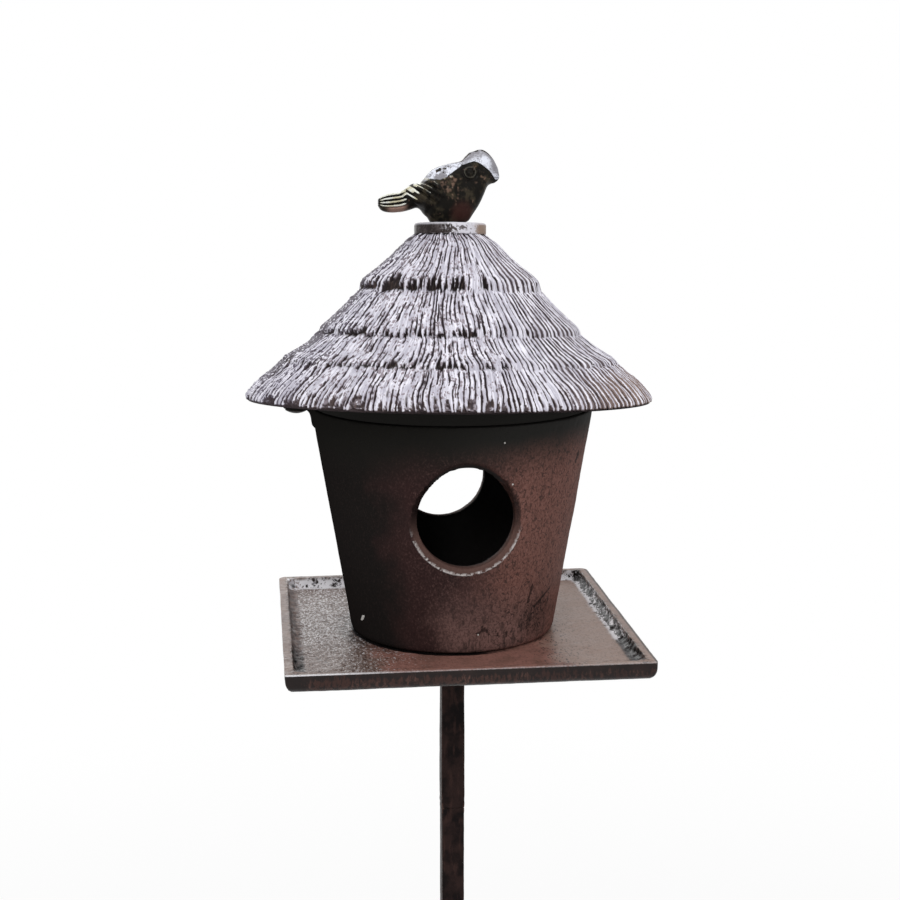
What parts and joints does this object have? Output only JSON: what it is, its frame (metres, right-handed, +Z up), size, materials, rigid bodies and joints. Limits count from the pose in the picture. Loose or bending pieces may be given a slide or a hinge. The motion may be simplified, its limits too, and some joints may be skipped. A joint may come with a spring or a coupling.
{
  "type": "bird feeder",
  "caption": "Cast-iron bird feeder: a round hut with a thatched swivel roof and bird finial, on a square tray and post, with an entrance front and back.",
  "frame": {"origin": "centre of the post's square foot, at ground level", "axes": "+Z up the post, -Y towards the front entrance, +X the way the bird looks"},
  "size_m": [0.2326, 0.2321, 1.1882],
  "materials": {
    "post_iron": "dark brown-black patinated iron, satin",
    "tray_iron": "taupe and red-brown patinated iron, hammered, semi-gloss",
    "house_iron": "dark brown patinated iron, mottled, semi-gloss",
    "thatch_iron": "silver-lavender dry-brushed ridges over near-black grooves",
    "collar_iron": "worn silver over dark brown",
    "bird_iron": "near-black with silver-brushed feathers",
    "fixing_steel": "blackened steel"
  },
  "bodies": {
    "root": {"post_lower": "post_iron", "post_upper": "post_iron", "lower_stud": "fixing_steel", "stem": "post_iron", "stem_stud": "fixing_steel", "tray": "tray_iron", "house": "house_iron", "house_washer": "fixing_steel", "house_bolt": "fixing_steel"},
    "roof": {"thatch_roof": "thatch_iron", "roof_seat_ring": "house_iron", "roof_pivot_boss": "house_iron", "pivot_bolt": "fixing_steel", "pivot_washer": "fixing_steel", "roof_collar": "collar_iron", "bird": "bird_iron", "bird_washer": "fixing_steel", "bird_screw": "fixing_steel"}
  },
  "joints": [
    {"name": "roof_swivel", "type": "hinge", "parent": "root", "child": "roof", "pos_m": [-0.0892, 0, 1.0445], "axis": [0, 0, 1], "range_deg": [0, 90]}
  ]
}
